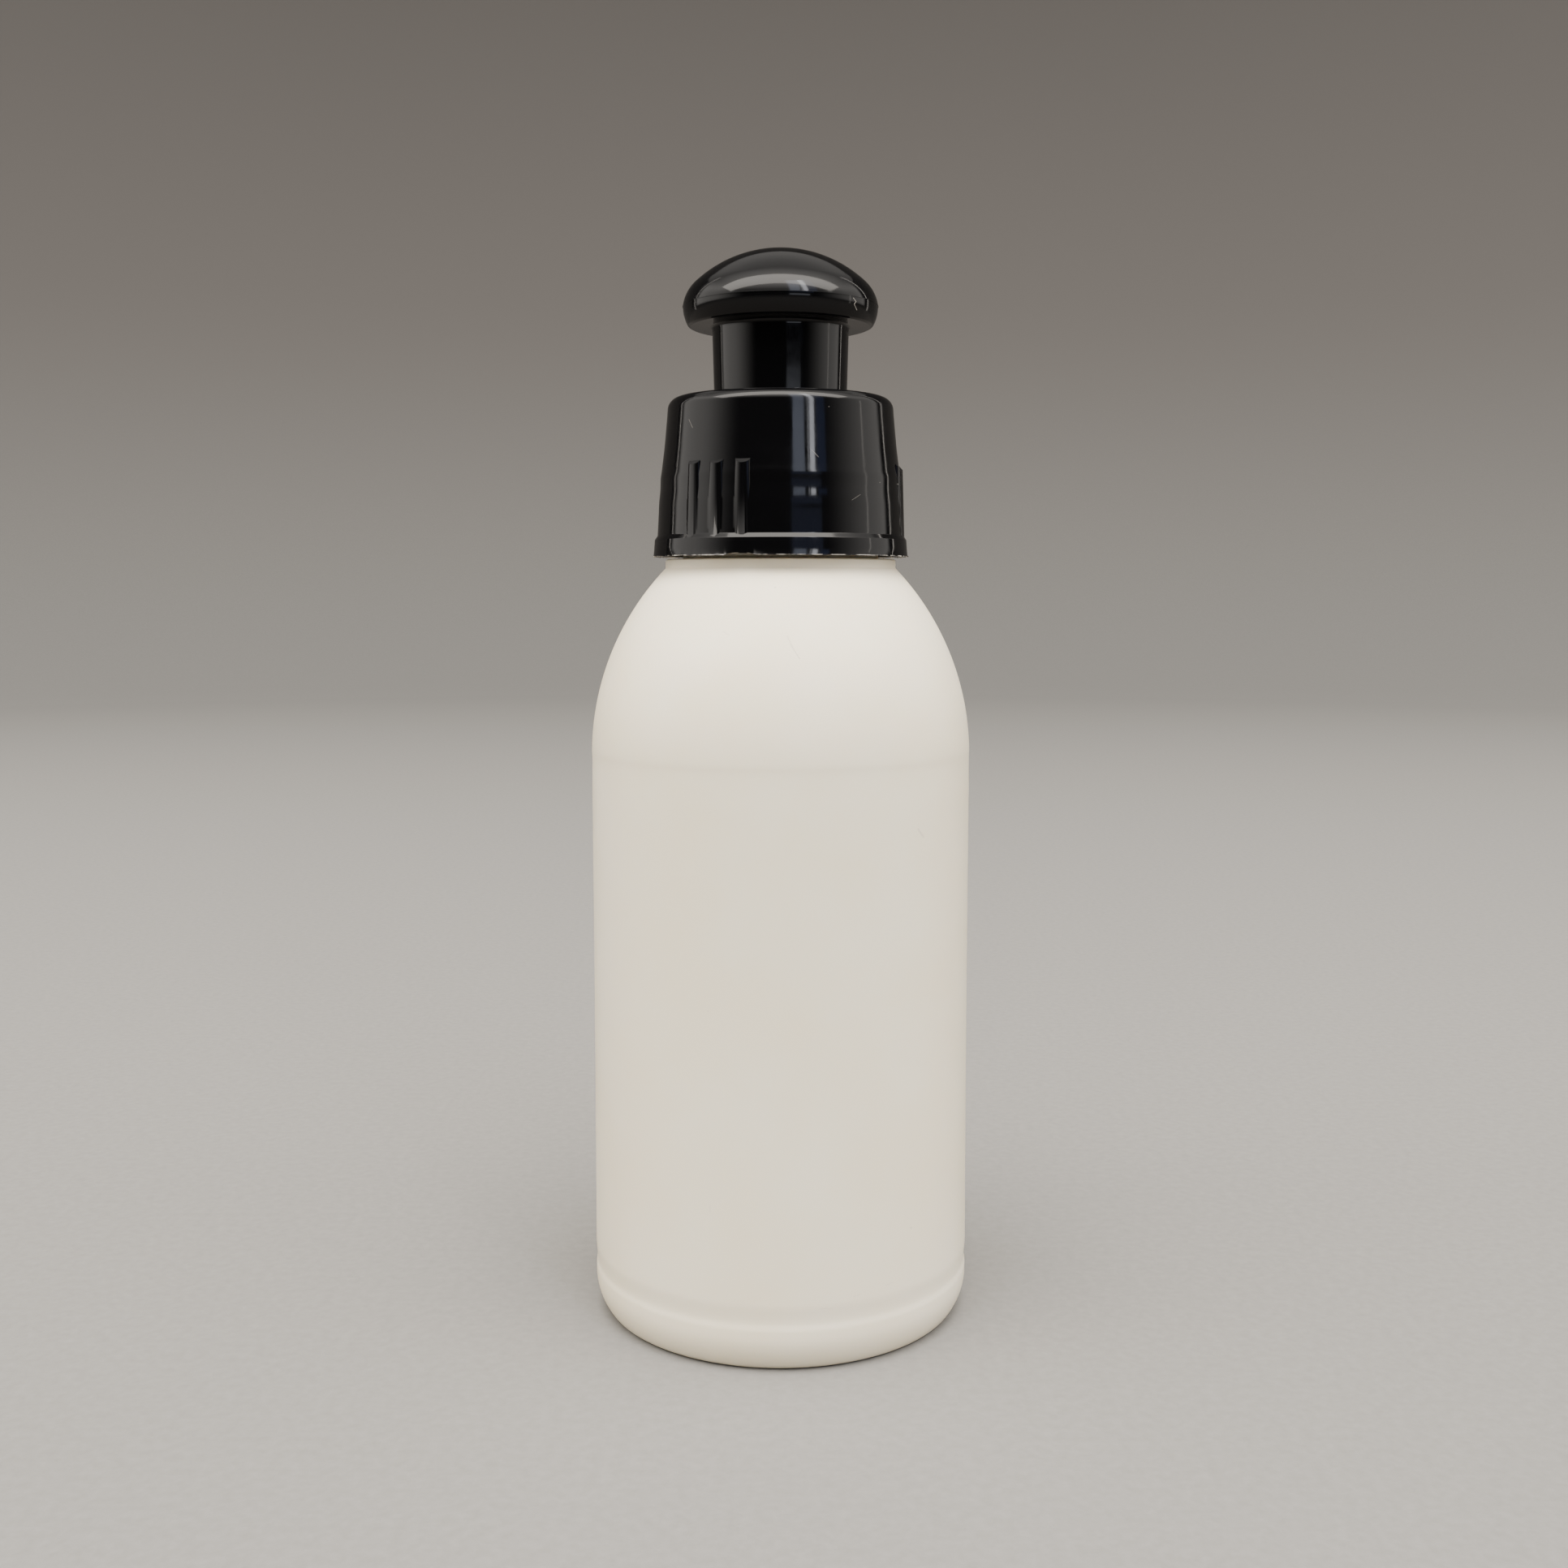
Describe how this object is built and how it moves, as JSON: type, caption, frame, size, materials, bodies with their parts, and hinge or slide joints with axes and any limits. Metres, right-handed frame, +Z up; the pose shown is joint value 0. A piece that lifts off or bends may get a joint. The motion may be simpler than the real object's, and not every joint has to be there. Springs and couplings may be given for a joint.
{
  "type": "foundation bottle",
  "caption": "Small white squeeze bottle with a rounded shoulder and a black screw closure whose domed head pulls up to open and pushes down to shut",
  "frame": {"origin": "middle of the flat standing ring under the bottle, on the bottle's axis", "axes": "+Z up along the bottle's axis; -Y is the front, with one group of grip ribs turned 30.6 degrees from it towards -X"},
  "size_m": [0.0424, 0.0424, 0.1175],
  "materials": {
    "bottle_plastic": "satin white blow-moulded polyethylene",
    "cap_plastic": "glossy black injection-moulded polypropylene",
    "head_plastic": "glossy black injection-moulded polypropylene",
    "washer_foam": "matt white foamed polyethylene"
  },
  "bodies": {
    "bottle_body": {"bottle": "bottle_plastic"},
    "washer_body": {"sealing_washer": "washer_foam"},
    "closure": {"screw_cap": "cap_plastic"},
    "head": {"push_pull_head": "head_plastic"}
  },
  "joints": [
    {"name": "cap_lift", "type": "slide", "parent": "bottle_body", "child": "washer_body", "axis": [0, 0, 1], "range_m": [0, 0.00477]},
    {"name": "cap_unscrew", "type": "hinge", "parent": "washer_body", "child": "closure", "pos_m": [0, 0, 0.0931], "axis": [0, 0, 1], "range_deg": [0, 540]},
    {"name": "head_slide", "type": "slide", "parent": "closure", "child": "head", "axis": [0, 0, 1], "range_m": [-0.0075, 0]}
  ],
  "couplings": [
    {"joint": "cap_lift", "follows": "cap_unscrew", "m_per_rad": 0.00050532}
  ]
}
